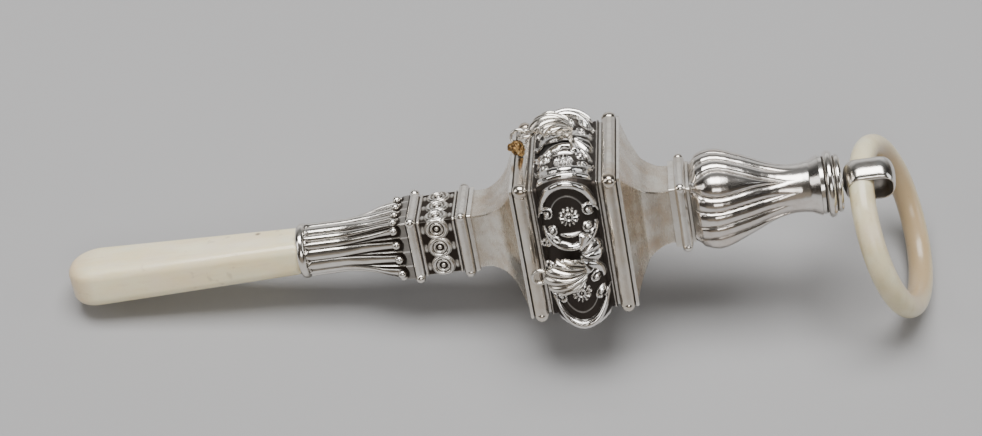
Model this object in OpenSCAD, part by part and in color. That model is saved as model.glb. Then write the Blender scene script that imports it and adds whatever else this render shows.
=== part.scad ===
// Baby rattle: silver handle rattle with a pearl teether and a pearl ring, resting on a table.
// Everything is drawn about one long axis (+X runs from teether to ring), then set down
// with the teether tip, one bell lug and a hub corner touching z = 0.

/* [Pose] */
// Rise of the long axis towards the ring end, degrees
rest_tilt = 9.073; // [0:0.01:20]
// Roll of the square body about its long axis, degrees
rest_roll = 23.089; // [0:0.01:45]
// Height of the hub centre above the table
hub_height = 20.104; // [15:0.001:30]
// Shift of the hub centre along X, puts the bounds on the origin
hub_shift_x = 13.496; // [-40:0.001:40]
// Shift of the hub centre along Y
hub_shift_y = 0.137; // [-20:0.001:20]

/* [Teether] */
// Axial position of the teether tip
teether_tip = -96.2; // [-120:0.1:-70]
// Width of the pearl slab near its tip
teether_w = 12.2; // [8:0.1:16]
// Width of the slab where it enters the collar
teether_w_root = 8.6; // [6:0.1:12]
// Thickness of the slab near its tip
teether_t = 7.7; // [4:0.1:10]
// Thickness at the collar
teether_t_root = 6.8; // [4:0.1:8]
// Length of the tang hidden in the ferrule
tang_l = 15; // [8:0.5:18]

/* [Ferrule and block] */
// Axial position of the ferrule's open end
ferrule_x = -50.1; // [-60:0.1:-40]
// Radius of the round end
ferrule_r = 5.0; // [4:0.1:7]
// Half side of the square end
ferrule_half = 6.0; // [5:0.1:8]
// Axial centre of the first block moulding
mould_a_x = -29.6; // [-35:0.1:-25]
// Half side of the first block moulding
mould_a_half = 6.31; // [5:0.01:8]
// Axial centre of the second block moulding
mould_b_x = -20.25; // [-24:0.05:-18]
// Half side of the second block moulding
mould_b_half = 6.54; // [5:0.01:8]

/* [Hub] */
// Axial centre of each hub frame moulding
frame_x = 7.9; // [6:0.1:10]
// Half side of the hub frames at their crest
frame_half = 13.75; // [12:0.05:16]
// Width of the half round frame moulding
frame_w = 2.8; // [2:0.1:4]
// Half width of the embossed band
band_half_w = 6.0; // [5:0.1:7]
// Half side of the band at its edges
band_edge = 12.9; // [12:0.1:14]
// Half side of the band at its middle
band_mid = 15.6; // [13:0.1:17]
// Wall of the stamped sheet
sheet = 0.6; // [0.3:0.05:1.2]

/* [Lugs and bells] */
// Axial position of every lug eye
eye_x = -6.4; // [-8:0.1:-5]
// Distance of the lug eyes from the long axis
eye_out = 17.8; // [16:0.1:19]
// Bore radius of a lug eye
eye_bore = 1.0; // [0.5:0.05:1.2]
// Highest point of a lug above the axis
lug_peak = 21.0; // [18:0.1:23]
// Centreline radius of a jump ring
jump_r = 1.5; // [1.2:0.05:2.5]
// Wire radius of a jump ring
jump_wire = 0.3; // [0.2:0.05:0.5]
// Outer radius of the surviving bell
bell_r = 2.9; // [2:0.1:4]

// Turn of the front lug about the long axis, it was soldered on a little low
front_lug_turn = 6.5; // [-10:0.5:10]

/* [Handle and ring] */
// Axial centre of the handle's square moulding
mould_c_x = 19.8; // [18:0.1:22]
// Half side of the handle's square moulding
mould_c_half = 6.72; // [6:0.01:8]
// Axial centre of the bead that closes the handle
collar_x = 46.5; // [45:0.1:49]
// Left outer face of the bail
bail_x = 48.9; // [49:0.1:51]
// Outer length of the bail along the axis
bail_l = 9.4; // [7:0.1:12]
// Outer height of the bail
bail_h = 7.8; // [6:0.1:10]
// Width of the bail strap
bail_w = 5.0; // [3:0.1:7]
// Thickness of the bail strap
bail_t = 0.6; // [0.5:0.05:1.5]
// Axial position of the ring where it passes the bail
ring_pass_x = 52.2; // [52:0.1:54]
// Height of the ring's tube above the axis inside the bail
ring_pass_z = 0.8; // [-1:0.05:1]
// Centreline radius of the pearl ring
ring_r = 15.2; // [12:0.1:20]
// Tube radius of the pearl ring
ring_tube = 2.3; // [1.5:0.01:3]
// Lean of the ring away from straight down, in the axis frame
ring_lean = 19.05; // [-10:0.01:40]
// Turn of the ring about the upright, where it passes the bail
ring_yaw = 7.0; // [-15:0.1:15]

/* [Hidden] */
$fn = 64;
far = 60;
silver = [0.78, 0.77, 0.75];
silver_dark = [0.45, 0.44, 0.43];
pearl = [0.88, 0.84, 0.72];
gilt = [0.72, 0.55, 0.28];
resin = [0.35, 0.24, 0.15];
body_wall = 0.8;
pin_r = 0.9;
pin_gap = 0.05;
eye_wire = 0.35;
wall_x = eye_x - eye_bore - eye_wire;
ferrule_end = mould_a_x - 0.95;
ferrule_bore = ferrule_r - 0.9;
bell_wall = 0.4;
pea_r = 0.8;
jump_drop = 0.5;

// ---------- placement ----------

// Tilted axis frame: the swivelling bail and the ring stay upright in it.
module tilted() {
    translate([hub_shift_x, hub_shift_y, hub_height])
        rotate([0, -rest_tilt, 0])
            children();
}

// Body frame: as above, rolled onto a hub corner.
module placed() {
    tilted()
        rotate([-rest_roll, 0, 0])
            children();
}

// Turns a shape drawn about Z so that it runs along +X.
module along_x() {
    rotate([90, 0, 90])
        children();
}

// Square-plan body from one mirrored outline: child is a 2D outline about the X axis.
module square_turned() {
    intersection() {
        rotate([90, 0, 0])
            linear_extrude(height = far, center = true)
                children();
        linear_extrude(height = far, center = true)
            children();
    }
}

// Turned body: points are [axial, radius] pairs, first and last on the axis.
module turned(points) {
    along_x()
        rotate_extrude()
            polygon([for (p = points) [p[1], p[0]]]);
}

// Same copy on each of the four faces, face 0 is on top (+Z).
module four_faces() {
    for (a = [0, 90, 180, 270])
        rotate([a, 0, 0])
            children();
}

// Outline mirrored about the X axis from [axial, half side] pairs.
module mirrored_outline(points) {
    polygon(concat(points, [for (i = [len(points) - 1 : -1 : 0]) [points[i][0], -points[i][1]]]));
}

// ---------- teether ----------

module teether_outline(tip_w, root_w, tip_round, x_end) {
    intersection() {
        mirrored_outline([[teether_tip, tip_w / 2], [x_end, root_w / 2]]);
        union() {
            translate([teether_tip + tip_round, -tip_w / 2 + tip_round])
                circle(r = tip_round);
            translate([teether_tip + tip_round, tip_w / 2 - tip_round])
                circle(r = tip_round);
            translate([teether_tip, -tip_w / 2 + tip_round])
                square([tip_round * 2, tip_w - 2 * tip_round]);
            translate([teether_tip + tip_round, -tip_w / 2])
                square([x_end - teether_tip - tip_round, tip_w]);
        }
    }
}

// Rounded rectangle across the slab, width along Y and thickness along Z.
module slab_section(w, t) {
    r = 1.9;
    for (y = [-1, 1], z = [-1, 1])
        translate([y * (w / 2 - r), z * (t / 2 - r)])
            circle(r = r);
    square([w - 2 * r, t], center = true);
    square([w, t - 2 * r], center = true);
}

module teether() {
    root_x = ferrule_x - 1.2;
    color(pearl) placed() {
        union() {
            intersection() {
                linear_extrude(height = far, center = true)
                    teether_outline(teether_w, teether_w_root, 5.4, root_x);
                rotate([90, 0, 0])
                    linear_extrude(height = far, center = true)
                        teether_outline(teether_t, teether_t_root, 3.2, root_x);
                translate([teether_tip - 1, 0, 0])
                    along_x()
                        linear_extrude(height = 60)
                            slab_section(teether_w, teether_t);
                turned([[teether_tip - 1, 0], [teether_tip - 1, 9], [-70, 7.4], [root_x, 4.7],
                    [root_x, 0]]);
            }
            translate([root_x - 1, -3.5, -1.8])
                cube([tang_l + 1, 7.0, 3.6]);
        }
    }
}

module pitch_bed() {
    color(resin) placed() {
        difference() {
            turned([[ferrule_x, 0], [ferrule_x, ferrule_bore], [-35, ferrule_bore], [-35, 0]]);
            translate([ferrule_x - 3, -3.5, -1.8])
                cube([tang_l + 1.8, 7.0, 3.6]);
        }
    }
}

// ---------- ferrule ----------

module ferrule_collar() {
    color(silver) placed()
        difference() {
            along_x()
                rotate_extrude()
                    translate([ferrule_r - 0.72, ferrule_x - 0.95])
                        circle(r = 0.92);
            translate([ferrule_x - 4, 0, 0])
                along_x()
                    linear_extrude(height = 8)
                        slab_section(teether_w_root + 0.4, teether_t_root + 0.4);
        }
}

module ferrule_body(inset) {
    intersection() {
        square_turned()
            mirrored_outline([[ferrule_x, ferrule_r + 0.02 - inset], [-42, ferrule_r + 0.05 - inset],
                [-38, 5.2 - inset], [-34.5, 5.65 - inset], [-32, 5.95 - inset],
                [ferrule_end, ferrule_half - inset]]);
        turned([[ferrule_x, 0], [ferrule_x, ferrule_r - inset], [-45, ferrule_r + 0.02 - inset],
            [-41, ferrule_r + 0.25 - inset], [-38.5, 5.75 - inset], [-36, 6.55 - inset],
            [-34, 7.35 - inset], [-32, 8.0 - inset], [ferrule_end, 8.3 - inset],
            [ferrule_end, 0]]);
    }
}

// Flute number k of a face, its spread widening towards the square end.
module flute_cutter(k) {
    run = 16.3;
    y0 = (k - 1.5) * 2.0;
    y1 = (k - 1.5) * 3.0;
    z0 = sqrt(pow(ferrule_r + 0.3, 2) - pow(y0, 2));
    z1 = 6.35;
    translate([ferrule_x + 1.3, y0, z0])
        rotate([0, -atan((z1 - z0) / run), atan((y1 - y0) / run)])
            rotate([0, 90, 0])
                cylinder(h = run, r = 0.72, $fn = 32);
}

module fluted_ferrule() {
    color(silver) placed() {
        difference() {
            ferrule_body(0);
            turned([[ferrule_x - 1, 0], [ferrule_x - 1, ferrule_bore], [-29, ferrule_bore], [-29, 0]]);
            four_faces()
                for (k = [0 : 3])
                    flute_cutter(k);
        }
        four_faces()
            for (y = [-4.5, -1.5, 1.5, 4.5])
                translate([-32.9, y, 5.65])
                    sphere(r = 0.8, $fn = 24);
    }
}

// ---------- square block ----------

module half_round_frame(x, half, w) {
    square_turned() {
        translate([x - w / 2, -half + w / 3])
            square([w, 2 * half - 2 * w / 3]);
        for (s = [-1, 1])
            translate([x, s * (half - w / 2)])
                circle(r = w / 2);
    }
}

module block_bore(x0, x1) {
    translate([x0, -4.2, -4.2])
        cube([x1 - x0, 8.4, 8.4]);
}

module block_moulding_left() {
    color(silver) placed() {
        difference() {
            union() {
                half_round_frame(mould_a_x, mould_a_half, 1.9);
                for (y = [-1, 1], z = [-1, 1])
                    translate([mould_a_x, y * (mould_a_half - 0.55), z * (mould_a_half - 0.55)])
                        sphere(r = 0.94, $fn = 32);
            }
            block_bore(mould_a_x - 3, mould_a_x + 3);
        }
    }
}

module ring_boss() {
    difference() {
        cylinder(h = 0.5, r = 1.85);
        translate([0, 0, 0.15])
            cylinder(h = 1, r = 1.5);
    }
    difference() {
        cylinder(h = 0.5, r = 1.15);
        translate([0, 0, 0.15])
            cylinder(h = 1, r = 0.8);
    }
    cylinder(h = 0.55, r = 0.4);
}

module block_panel() {
    half = 5.75;
    x0 = mould_a_x + 0.95;
    x1 = mould_b_x - 1.1;
    color(silver) placed() {
        difference() {
            union() {
                translate([x0, -half + 0.5, -half + 0.5])
                    cube([x1 - x0, 2 * half - 1, 2 * half - 1]);
                translate([x0 + 0.9, -half, -half])
                    cube([x1 - x0 - 1.9, 2 * half, 2 * half]);
                four_faces()
                    for (y = [-3.75, 0, 3.75])
                        translate([(x0 + x1) / 2 - 0.05, y, half - 0.1])
                            ring_boss();
            }
            block_bore(x0 - 1, x1 + 1);
        }
    }
}

module block_moulding_right() {
    color(silver) placed() {
        difference() {
            union() {
                half_round_frame(mould_b_x, mould_b_half, 2.2);
                translate([mould_b_x, -5.9, -5.9])
                    cube([1.9, 11.8, 11.8]);
            }
            block_bore(mould_b_x - 3, mould_b_x + 3);
        }
    }
}

// ---------- hub ----------

// Hollow square neck: the bore follows the outline one wall further in.
module cove(points) {
    first = points[0];
    last = points[len(points) - 1];
    inner = concat([[first[0] - 1, first[1] - body_wall]],
        [for (p = points) [p[0], p[1] - body_wall]],
        [[last[0] + 1, last[1] - body_wall]]);
    difference() {
        square_turned()
            mirrored_outline(points);
        square_turned()
            mirrored_outline(inner);
    }
}

module neck_left() {
    color(silver) placed()
        cove([[-18.35, 5.35], [-17, 5.3], [-15.8, 5.45], [-14.6, 5.85], [-13.5, 6.5],
            [-12.6, 7.3], [-11.8, 8.3], [-11.1, 9.5], [-10.5, 10.7], [-9.9, 12.0]]);
}

module neck_right() {
    color(silver) placed()
        cove([[9.9, 12.0], [10.5, 10.7], [11.1, 9.5], [11.8, 8.4], [12.7, 7.1], [13.6, 6.4], [14.6, 5.9], [15.8, 5.45],
            [17.1, 5.3], [17.75, 5.3]]);
}

module hub_plate(s) {
    color(silver) placed()
        mirror([s < 0 ? 1 : 0, 0, 0])
            difference() {
                union() {
                    translate([9.3, -13.1, -13.1])
                        cube([0.6, 26.2, 26.2]);
                    translate([band_half_w, -12.5, -12.5])
                        cube([3.4, 25, 25]);
                }
                translate([5, -11.6, -11.6])
                    cube([4.1, 23.2, 23.2]);
                translate([6, -4.2, -4.2])
                    cube([6, 8.4, 8.4]);
            }
}

module hub_plate_left() {
    hub_plate(-1);
}

module hub_plate_right() {
    hub_plate(1);
}

module hub_frame(s) {
    color(silver) placed()
        difference() {
            union() {
                half_round_frame(s * frame_x, frame_half, frame_w);
                for (y = [-1, 1], z = [-1, 1])
                    translate([s * frame_x, y * (frame_half - 1.05), z * (frame_half - 1.05)])
                        sphere(r = 1.38, $fn = 32);
            }
            translate([s * frame_x - 4, -12.5, -12.5])
                cube([8, 25, 25]);
        }
}

module hub_frame_left() {
    hub_frame(-1);
}

module hub_frame_right() {
    hub_frame(1);
}

module band_outline(inset) {
    mirrored_outline([[-band_half_w, band_edge - inset], [-band_half_w + 0.7, band_edge - inset],
        [-4.4, band_edge + 1.4 - inset], [-2.6, band_mid - 0.4 - inset], [0, band_mid - inset],
        [2.6, band_mid - 0.4 - inset], [4.4, band_edge + 1.4 - inset],
        [band_half_w - 0.7, band_edge - inset], [band_half_w, band_edge - inset]]);
}

module band_corner_round() {
    r = 1.6;
    half = band_mid - r;
    along_x()
        linear_extrude(height = 20, center = true) {
            square([2 * half, 2 * band_mid + 1], center = true);
            square([2 * band_mid + 1, 2 * half], center = true);
            for (y = [-1, 1], z = [-1, 1])
                translate([y * half, z * half])
                    circle(r = r + 0.1);
        }
}

module hub_band() {
    color(silver_dark) placed()
        difference() {
            intersection() {
                square_turned()
                    band_outline(0);
                band_corner_round();
            }
            translate([-7, -11.6, -11.6])
                cube([14, 23.2, 23.2]);
            square_turned()
                mirrored_outline([[-5, 12.2], [-2.6, band_mid - 1.1], [2.6, band_mid - 1.1],
                    [5, 12.2]]);
        }
}

module scroll_arc(x, y, r, a0, a1) {
    translate([x, y, 0])
        rotate([0, 0, a0])
            rotate_extrude(angle = a1 - a0)
                translate([r, 0])
                    circle(r = 0.5, $fn = 24);
}

module face_scrollwork() {
    translate([0, 0, band_mid - 0.25]) {
        for (y = [-8.1, 8.1]) {
            translate([0, y, 0]) {
                sphere(r = 0.8, $fn = 32);
                for (a = [0 : 45 : 315])
                    rotate([0, 0, a])
                        translate([1.35, 0, 0])
                            sphere(r = 0.55, $fn = 24);
            }
            scroll_arc(0, y, 2.9, 20, 160);
            scroll_arc(0, y, 2.9, 200, 340);
        }
    }
}

module hub_scrollwork() {
    color(silver) placed()
        difference() {
            four_faces()
                face_scrollwork();
            square_turned()
                band_outline(0);
        }
}

// ---------- lugs ----------

// Fine ribs along the arch of a lug.
module lug_rib(y, arch_z) {
    translate([-2.2, y, arch_z])
        rotate([90, 0, 0])
            rotate_extrude()
                translate([4.25, 0])
                    circle(r = 0.42, $fn = 24);
}

// Arched leaf on the +Z face: narrow root in the band, widest past the crown, tip over the eye.
module lug_arch(tip_half = 2.4, wide_half = 3.7) {
    arch_z = lug_peak - 4.67;
    intersection() {
        union() {
            translate([-2.2, 0, arch_z])
                rotate([90, 0, 0])
                    linear_extrude(height = 8, center = true)
                        difference() {
                            circle(r = 4.4);
                            circle(r = 3.6);
                        }
            for (y = [-1.8, -0.6, 0.6, 1.8])
                lug_rib(y, arch_z);
        }
        rotate([90, 0, 0])
            linear_extrude(height = 8, center = true)
                polygon([[-2.2, arch_z], [-8, 17.0], [-8, 25], [8, 25], [8, 12], [-0.6, 12]]);
        linear_extrude(height = 30)
            mirrored_outline([[-8, tip_half - 0.8], [-6, tip_half], [-4.4, wide_half], [-2, 3.2],
                [2.5, 1.4]]);
        translate([-10, 0, lug_peak - 5])
            rotate([0, 90, 0])
                cylinder(h = 20, r = 5);
    }
}

module eye_washer() {
    translate([eye_x, 0, eye_out - 0.5])
        cylinder(h = 1, r = eye_bore + 2 * eye_wire);
}

module eye_loop() {
    translate([eye_x, 0, eye_out])
        rotate_extrude()
            translate([eye_bore + eye_wire, 0])
                circle(r = eye_wire, $fn = 32);
}

// Empty lug: the eye is a flat washer with a straight bore.
module lug_empty(aside = 0) {
    difference() {
        lug_arch();
        translate([eye_x, 0, eye_out - 3])
            cylinder(h = 6, r = eye_bore + 0.4);
        rotate([-aside, 0, 0])
            square_turned()
                band_outline(0);
    }
    difference() {
        eye_washer();
        translate([eye_x, 0, eye_out - 3])
            cylinder(h = 6, r = eye_bore);
    }
}

// Lug with a jump ring in it: the eye is a round wire loop.
module lug_worn(tip_half = 2.4, wide_half = 3.7) {
    difference() {
        lug_arch(tip_half, wide_half);
        translate([eye_x, 0, eye_out - 3])
            cylinder(h = 6, r = eye_bore + eye_wire);
        square_turned()
            band_outline(0);
    }
    eye_loop();
}

module lug_top() {
    color(silver) placed()
        lug_worn();
}

module lug_front() {
    color(silver) placed()
        rotate([90 + front_lug_turn, 0, 0])
            lug_empty(front_lug_turn);
}

module lug_bottom() {
    color(silver) placed()
        rotate([180, 0, 0])
            lug_empty();
}

module lug_back() {
    color(silver) placed()
        rotate([-90, 0, 0])
            lug_worn(tip_half = 1.4, wide_half = 2.0);
}

// ---------- jump rings and bells ----------

module jump_torus() {
    rotate_extrude()
        translate([jump_r, 0])
            circle(r = jump_wire, $fn = 32);
}

module jump_ring_top() {
    color(silver) placed()
        translate([wall_x, 0, eye_out - jump_drop])
            rotate([90, 0, 0])
                jump_torus();
}

// Crushed crown of a lost bell, threaded on the jump ring.
module bell_remnant() {
    color(gilt) placed()
        translate([wall_x, 0, eye_out - jump_drop])
            difference() {
                rotate([0, 20, 0]) {
                    translate([0, 0, -2.0])
                        sphere(r = 1.1, $fn = 32);
                    translate([0.55, -0.35, -2.35])
                        sphere(r = 0.7, $fn = 24);
                    translate([-0.6, 0.3, -2.3])
                        sphere(r = 0.65, $fn = 24);
                    translate([0.1, 0.6, -2.55])
                        sphere(r = 0.55, $fn = 24);
                }
                rotate([90, 0, 0])
                    rotate_extrude()
                        translate([jump_r, 0])
                            circle(r = jump_wire + 0.32, $fn = 32);
            }
}

// Frame of the surviving bell: origin at the jump ring's centre on the back lug,
// -Z pointing the way the bell hangs.
module hanging() {
    placed()
        rotate([-90, 0, 0])
            translate([eye_x, eye_bore + eye_wire, eye_out])
                rotate([90 + rest_roll, 0, 0])
                    translate([0, 0, -jump_drop])
                        children();
}

module jump_ring_back() {
    color(silver) hanging()
        rotate([0, 90, 0])
            jump_torus();
}

module bell_frame() {
    hanging()
        translate([0, 0, -jump_r - 1.15 - bell_r])
            children();
}

module bell_upper_shell() {
    color(silver) bell_frame() {
        difference() {
            sphere(r = bell_r);
            sphere(r = bell_r - bell_wall);
            translate([0, 0, -5])
                cube([10, 10, 10], center = true);
        }
        difference() {
            translate([0, 0, bell_r + 1.0])
                rotate([90, 0, 0])
                    rotate_extrude()
                        translate([1.0, 0])
                            circle(r = 0.25, $fn = 24);
            sphere(r = bell_r - bell_wall / 2);
        }
    }
}

module bell_lower_shell() {
    color(silver) bell_frame()
        difference() {
            sphere(r = bell_r);
            sphere(r = bell_r - bell_wall);
            translate([0, 0, 5])
                cube([10, 10, 10], center = true);
            translate([0, 0, -bell_r])
                cube([0.5, 3.4, 2.4], center = true);
            for (y = [-1.7, 1.7])
                translate([0, y, -bell_r])
                    cylinder(h = 2.6, r = 0.45);
        }
}

module bell_pea() {
    color(silver_dark) bell_frame()
        translate([0, 0, -1.3])
            sphere(r = pea_r, $fn = 32);
}

// ---------- handle ----------

module handle_base_moulding() {
    color(silver) placed()
        difference() {
            union() {
                half_round_frame(mould_c_x, mould_c_half, 2.1);
                translate([17.75, -5.95, -5.95])
                    cube([1.2, 11.9, 11.9]);
                translate([20.7, -5.6, -5.6])
                    cube([0.8, 11.2, 11.2]);
            }
            translate([17, -4.5, -4.5])
                cube([5, 9, 9]);
        }
}

module handle_outline(inset) {
    polygon([for (p = [[21.5, 7.3], [22.1, 7.9], [22.8, 8.45], [24.1, 8.97], [25.6, 9.17],
        [27, 8.97], [28.5, 8.5], [29.9, 7.92], [31.4, 7.33], [32.8, 6.7], [34.3, 5.98],
        [35.7, 5.4], [37.2, 4.92], [38.6, 4.6], [40, 4.49], [41.5, 4.54], [42.9, 4.78],
        [43.9, 5.25], [44.7, 5.74], [44.7, 0], [21.5, 0]]) [max(p[1] - inset, 0), p[0]]]);
}

module handle_flute(a) {
    rotate([a, 0, 0])
        translate([23.2, 0, 10.32])
            rotate([0, 90 + atan(0.362), 0])
                cylinder(h = 16.2, r = 0.6, $fn = 24);
}

module baluster_handle() {
    gaps = [14.5, 34.8, 55.2, 75.5];
    color(silver) placed()
        difference() {
            along_x()
                rotate_extrude()
                    handle_outline(0);
            along_x()
                rotate_extrude()
                    handle_outline(body_wall + 0.15);
            translate([21, -4.5, -4.5])
                cube([1.2, 9, 9]);
            along_x()
                translate([0, 0, 21])
                    cylinder(h = 30, r = 3.0);
            for (f = [0 : 3], g = gaps)
                handle_flute(45 + 90 * f + g);
        }
}

module end_collar() {
    color(silver) placed()
        difference() {
            union() {
                along_x()
                    rotate_extrude()
                        translate([5.33, collar_x])
                            circle(r = 0.82);
                turned([[44.7, 0], [44.7, 5.33], [47.4, 5.33], [47.4, 0]]);
            }
            along_x()
                translate([0, 0, 44])
                    cylinder(h = 5, r = 3.0);
        }
}

module end_cap() {
    color(silver) placed()
        difference() {
            turned([[47.4, 0], [47.4, 5.0], [47.8, 5.3], [48.2, 5.3], [48.6, 4.9], [48.6, 0]]);
            along_x()
                translate([0, 0, 47])
                    cylinder(h = 3, r = pin_r + pin_gap);
        }
}

module swivel_pin() {
    color(silver) tilted()
        turned([[45.9, 0], [45.9, 1.6], [46.2, 2.0], [47.1, 2.0], [47.1, pin_r],
            [bail_x + bail_t, pin_r], [bail_x + bail_t, 0]]);
}

module bail_outline(inset) {
    r = 3.2;
    x0 = bail_x + inset;
    x1 = bail_x + bail_l - inset;
    z1 = bail_h / 2 - inset;
    rr = r - inset;
    translate([x0, -z1 + rr])
        square([x1 - x0, 2 * (z1 - rr)]);
    translate([x0 + rr, -z1])
        square([x1 - x0 - 2 * rr, 2 * z1]);
    for (x = [x0 + rr, x1 - rr], z = [-z1 + rr, z1 - rr])
        translate([x, z])
            circle(r = rr);
}

module bail() {
    color(silver) tilted()
        difference() {
            intersection() {
                rotate([90, 0, 0])
                    linear_extrude(height = bail_w, center = true)
                        bail_outline(0);
                along_x()
                    linear_extrude(height = 70)
                        for (s = [0, 180])
                            rotate([0, 0, s])
                                intersection() {
                                    translate([-bail_w / 2, -0.01])
                                        square([bail_w, bail_h]);
                                    translate([0, bail_h / 2 - 4.2])
                                        circle(r = 4.2);
                                }
            }
            rotate([90, 0, 0])
                linear_extrude(height = 20, center = true)
                    bail_outline(bail_t);
            along_x()
                translate([0, 0, 48])
                    cylinder(h = 4, r = pin_r);
        }
}

module pearl_ring() {
    color(pearl) tilted()
        translate([ring_pass_x, 0, ring_pass_z])
            rotate([0, -ring_lean, -ring_yaw])
                translate([0, 0, -ring_r])
                    along_x()
                        rotate_extrude()
                            translate([ring_r, 0])
                                circle(r = ring_tube);
}

teether();
pitch_bed();
ferrule_collar();
fluted_ferrule();
block_moulding_left();
block_panel();
block_moulding_right();
neck_left();
hub_plate_left();
hub_frame_left();
hub_band();
hub_scrollwork();
hub_frame_right();
hub_plate_right();
lug_top();
lug_front();
lug_bottom();
lug_back();
jump_ring_top();
bell_remnant();
jump_ring_back();
bell_upper_shell();
bell_lower_shell();
bell_pea();
neck_right();
handle_base_moulding();
baluster_handle();
end_collar();
end_cap();
swivel_pin();
bail();
pearl_ring();
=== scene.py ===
import math
import bmesh
import bpy
import numpy as np
from mathutils import Matrix, Vector, noise


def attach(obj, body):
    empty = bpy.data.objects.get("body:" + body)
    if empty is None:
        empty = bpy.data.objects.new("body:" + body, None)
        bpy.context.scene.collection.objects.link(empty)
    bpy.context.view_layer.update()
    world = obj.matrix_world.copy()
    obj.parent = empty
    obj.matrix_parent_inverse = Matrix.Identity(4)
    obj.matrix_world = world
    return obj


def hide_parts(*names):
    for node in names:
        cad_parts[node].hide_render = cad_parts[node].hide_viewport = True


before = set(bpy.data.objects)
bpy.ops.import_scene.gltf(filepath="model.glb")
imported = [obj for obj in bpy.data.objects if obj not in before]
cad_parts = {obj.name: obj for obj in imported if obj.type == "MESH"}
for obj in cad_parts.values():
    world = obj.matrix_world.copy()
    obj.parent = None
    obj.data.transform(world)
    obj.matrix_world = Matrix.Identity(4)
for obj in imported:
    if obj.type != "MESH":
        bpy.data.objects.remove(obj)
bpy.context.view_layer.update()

# ---------- the table, the light and the place to look from ----------
# The rattle lies on a sheet of pale grey studio paper under a soft light overhead and a weaker
# one in front, with a bright wall behind it and a dim room in front.
scene = bpy.context.scene
bpy.ops.object.select_all(action="DESELECT")

camera_data = bpy.data.cameras.new("viewpoint")
camera_data.lens = 80
camera_data.sensor_width = 36
camera_data.clip_start = 0.01
camera = bpy.data.objects.new("viewpoint", camera_data)
camera.location = (-0.0022, -0.254868, 0.329681)
camera.rotation_euler = [math.radians(a) for a in (39.4734, 0.912, -1.1317)]
scene.collection.objects.link(camera)
scene.camera = camera


class Nodes:
    """Short hand for wiring one material or world."""

    def __init__(self, tree):
        self.tree = tree
        tree.nodes.clear()

    def add(self, kind, _set=None, **inputs):
        node = self.tree.nodes.new(kind)
        for key, value in (_set or {}).items():
            setattr(node, key, value)
        for key, value in inputs.items():
            self.put(node.inputs[key.replace("_", " ")], value)
        return node

    def put(self, socket, value):
        if isinstance(value, bpy.types.NodeSocket):
            self.tree.links.new(value, socket)
        else:
            socket.default_value = value

    def sum(self, kind, a, b=0.0, c=0.0, clamp=False):
        node = self.tree.nodes.new("ShaderNodeMath")
        node.operation = kind
        node.use_clamp = clamp
        for k, value in enumerate((a, b, c)):
            self.put(node.inputs[k], value)
        return node.outputs[0]

    def ramp(self, value, stops):
        node = self.tree.nodes.new("ShaderNodeValToRGB")
        self.put(node.inputs[0], value)
        band = node.color_ramp
        while len(band.elements) < len(stops):
            band.elements.new(0.5)
        for element, (place, colour) in zip(band.elements, stops):
            element.position = place
            element.color = (*colour, 1) if len(colour) == 3 else colour
        return node.outputs[0]

    def blend(self, amount, a, b, mode="MIX"):
        node = self.tree.nodes.new("ShaderNodeMix")
        node.data_type = "RGBA"
        node.blend_type = mode
        self.put(node.inputs[0], amount)
        for socket, value in ((node.inputs[6], a), (node.inputs[7], b)):
            self.put(socket, (*value, 1) if isinstance(value, tuple) and len(value) == 3 else value)
        return node.outputs[2]

    def noise(self, where, scale, detail=3.0, rough=0.5):
        node = self.add("ShaderNodeTexNoise", Vector=where, Scale=scale, Detail=detail, Roughness=rough)
        return node.outputs["Fac"]


def new_finish(name):
    finish = bpy.data.materials.new(name)
    finish.use_nodes = True
    return finish, Nodes(finish.node_tree)


paper, n = new_finish("studio_paper")
where = n.add("ShaderNodeTexCoord").outputs["Object"]
cloudy = n.noise(where, 6.0, 2.0)
fibres = n.noise(where, 900.0, 3.0, 0.6)
colour = n.blend(cloudy, (0.360, 0.360, 0.366), (0.388, 0.388, 0.394))
bump = n.add("ShaderNodeBump", Height=fibres, Strength=0.08, Distance=0.0002)
shader = n.add("ShaderNodeBsdfPrincipled", Base_Color=colour, Roughness=0.85, Normal=bump.outputs[0])
n.add("ShaderNodeOutputMaterial", Surface=shader.outputs[0])

bpy.ops.mesh.primitive_plane_add(size=3.0, location=(0, 0, 0))
table = bpy.context.active_object
table.name = "table_paper"
table.data.materials.append(paper)


def soft_light(name, place, aim, size, size_y, power, colour):
    data = bpy.data.lights.new(name, "AREA")
    data.shape = "RECTANGLE"
    data.size = size
    data.size_y = size_y
    data.energy = power
    data.color = colour
    lamp = bpy.data.objects.new(name, data)
    lamp.location = place
    lamp.rotation_euler = (Vector(aim) - Vector(place)).to_track_quat("-Z", "Y").to_euler()
    scene.collection.objects.link(lamp)


soft_light("overhead_softbox", (0.0, 0.10, 0.80), (0, 0, 0), 0.70, 0.45, 10.2, (1, 0.99, 0.98))
soft_light("front_fill", (0.15, -0.75, 0.65), (0, 0, 0), 0.6, 0.3, 2.2, (1, 0.98, 0.96))
soft_light("left_fill", (-0.75, -0.15, 0.45), (0, 0, 0), 0.35, 0.5, 1.4, (1, 0.98, 0.96))
soft_light("right_fill", (0.8, -0.1, 0.4), (0, 0, 0), 0.3, 0.5, 0.9, (0.97, 0.98, 1))

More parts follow.
